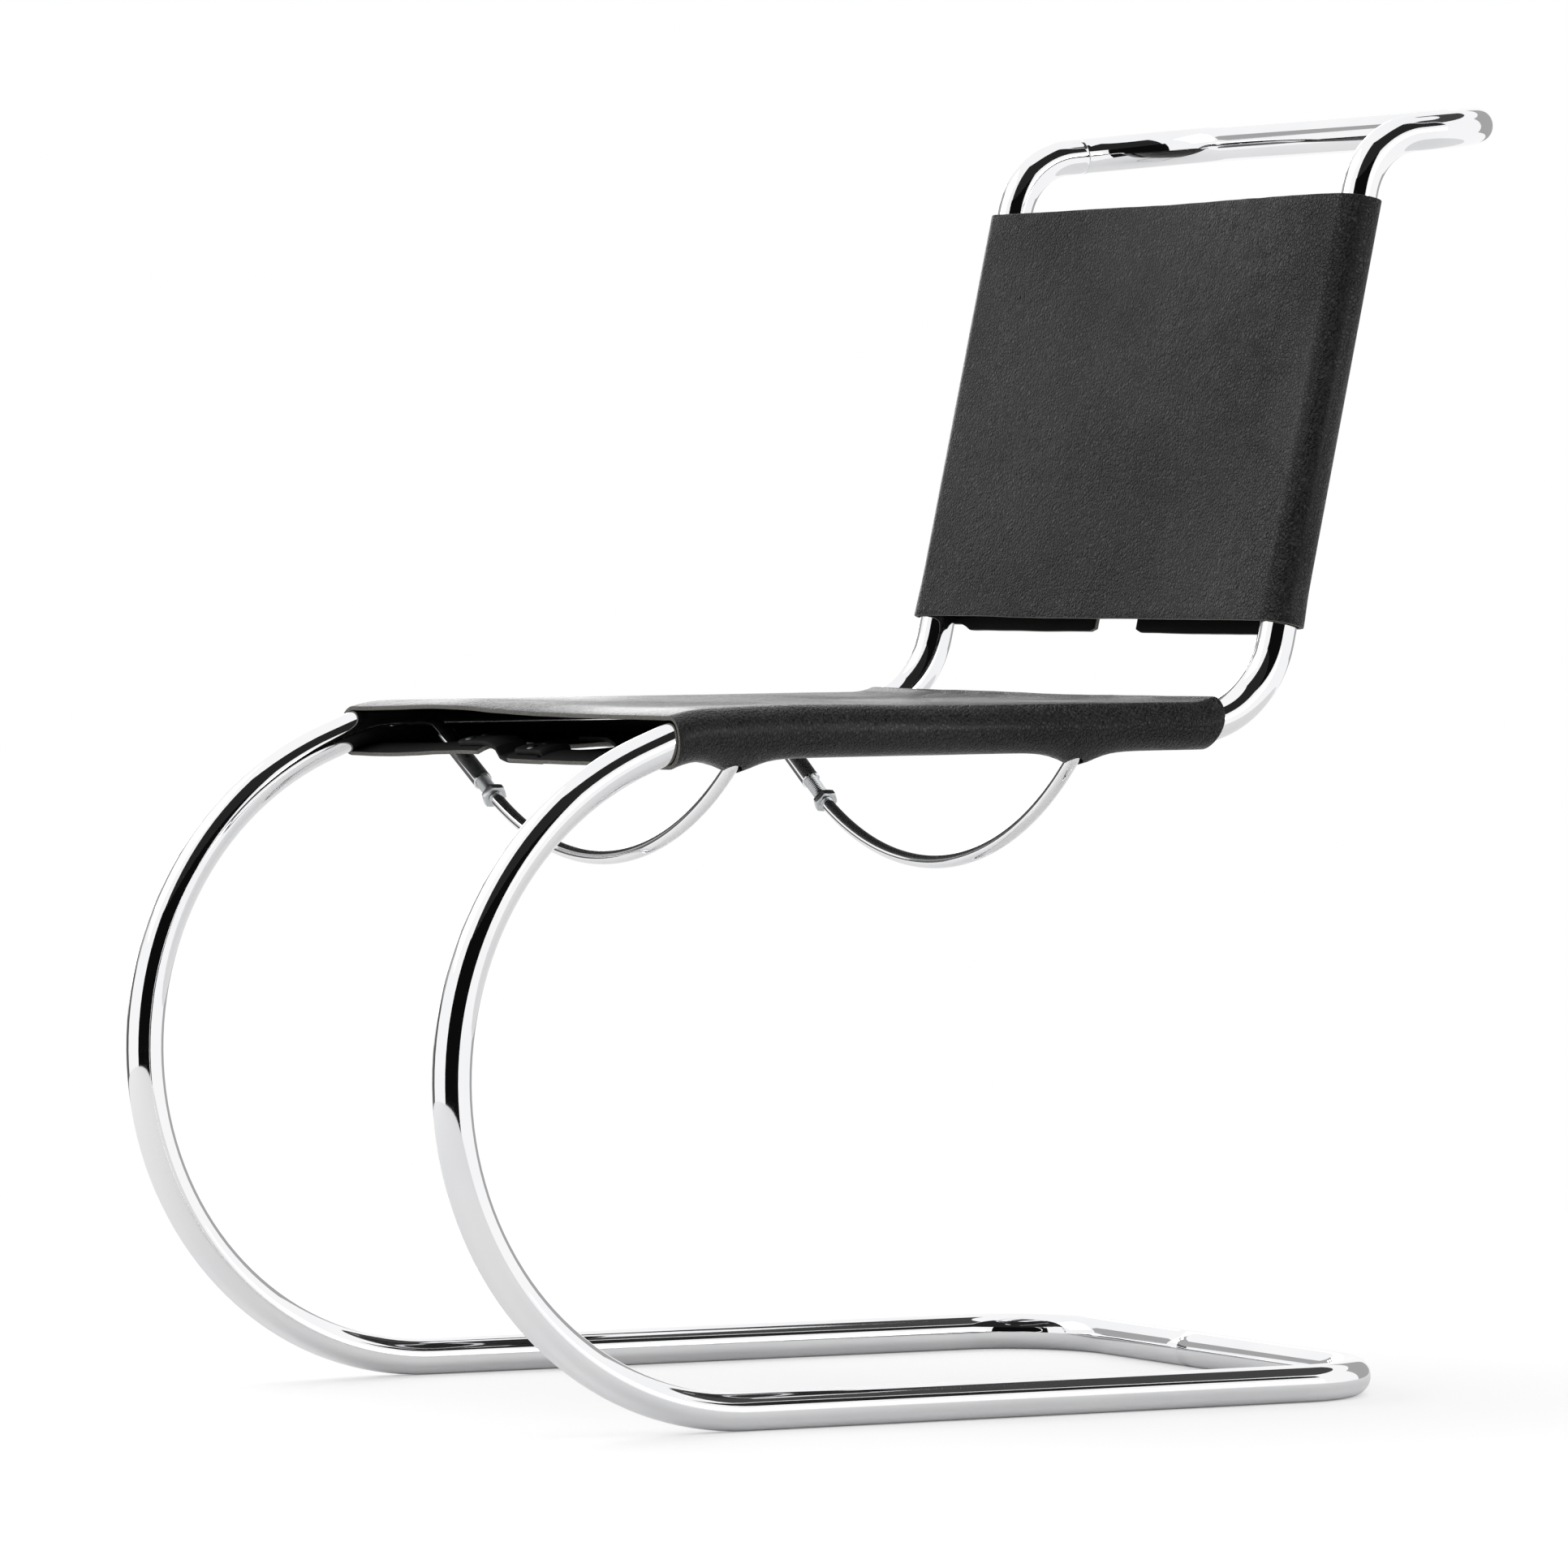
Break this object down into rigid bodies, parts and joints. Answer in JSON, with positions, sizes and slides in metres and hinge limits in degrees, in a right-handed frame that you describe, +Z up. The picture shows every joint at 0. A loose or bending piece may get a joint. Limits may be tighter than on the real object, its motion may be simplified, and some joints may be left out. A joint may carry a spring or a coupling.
{
  "type": "cantilever chair",
  "caption": "Cantilever chair: bent chromed tube frame, leather seat and back slings closed by straps, and adjustable rod spreaders under the seat.",
  "frame": {"origin": "on the floor, at the centre of the chair's outline", "axes": "+Z up; the chair faces -Y; +X is the side where the spreader rods' pegs enter the rail, right as seen from the front"},
  "size_m": [0.4506, 0.8418, 0.8691],
  "materials": {
    "chrome": "polished chrome plate on steel tube and rod",
    "spigot": "bare turned steel, hidden inside the tube",
    "zinc": "bright zinc plate on steel",
    "rivet": "dark plated steel",
    "leather": "black saddle leather, fine grain, satin sheen, raw grey edges",
    "strap": "black smooth leather strap"
  },
  "bodies": {
    "root": {"right_frame_tube": "chrome", "left_frame_tube": "chrome", "floor_joint_spigot": "spigot", "top_joint_spigot": "spigot", "seat_sling": "leather", "seat_strap_1": "strap", "seat_strap_2": "strap", "seat_strap_3": "strap", "seat_strap_4": "strap", "seat_strap_rivets": "rivet", "back_sling": "leather", "back_strap_1": "strap", "back_strap_2": "strap", "back_strap_3": "strap", "back_strap_rivets": "rivet", "front_anchor_rod": "chrome", "front_socket": "chrome", "front_spreader_rod": "chrome", "rear_anchor_rod": "chrome", "rear_socket": "chrome", "rear_spreader_rod": "chrome"},
    "front_sleeve": {"front_threaded_sleeve": "zinc"},
    "front_hexagon": {"front_adjusting_hexagon": "zinc"},
    "rear_sleeve": {"rear_threaded_sleeve": "zinc"},
    "rear_hexagon": {"rear_adjusting_hexagon": "zinc"}
  },
  "joints": [
    {"name": "front_sleeve_slide", "type": "slide", "parent": "root", "child": "front_sleeve", "axis": [-0.8572, -0.009, 0.515], "range_m": [0, 0.0145]},
    {"name": "front_hexagon_turn", "type": "hinge", "parent": "front_sleeve", "child": "front_hexagon", "pos_m": [-0.10207, -0.205, 0.39842], "axis": [-0.8572, -0.009, 0.515], "range_deg": [0, 3480]},
    {"name": "rear_sleeve_slide", "type": "slide", "parent": "root", "child": "rear_sleeve", "axis": [-0.8141, -0.0101, 0.5806], "range_m": [0, 0.0195]},
    {"name": "rear_hexagon_turn", "type": "hinge", "parent": "rear_sleeve", "child": "rear_hexagon", "pos_m": [-0.10179, 0.05511, 0.39428], "axis": [-0.8141, -0.0101, 0.5806], "range_deg": [0, 4680]}
  ],
  "couplings": [
    {"joint": "front_hexagon_turn", "follows": "front_sleeve_slide", "rad_per_m": 4188.8},
    {"joint": "rear_hexagon_turn", "follows": "rear_sleeve_slide", "rad_per_m": 4188.8}
  ]
}
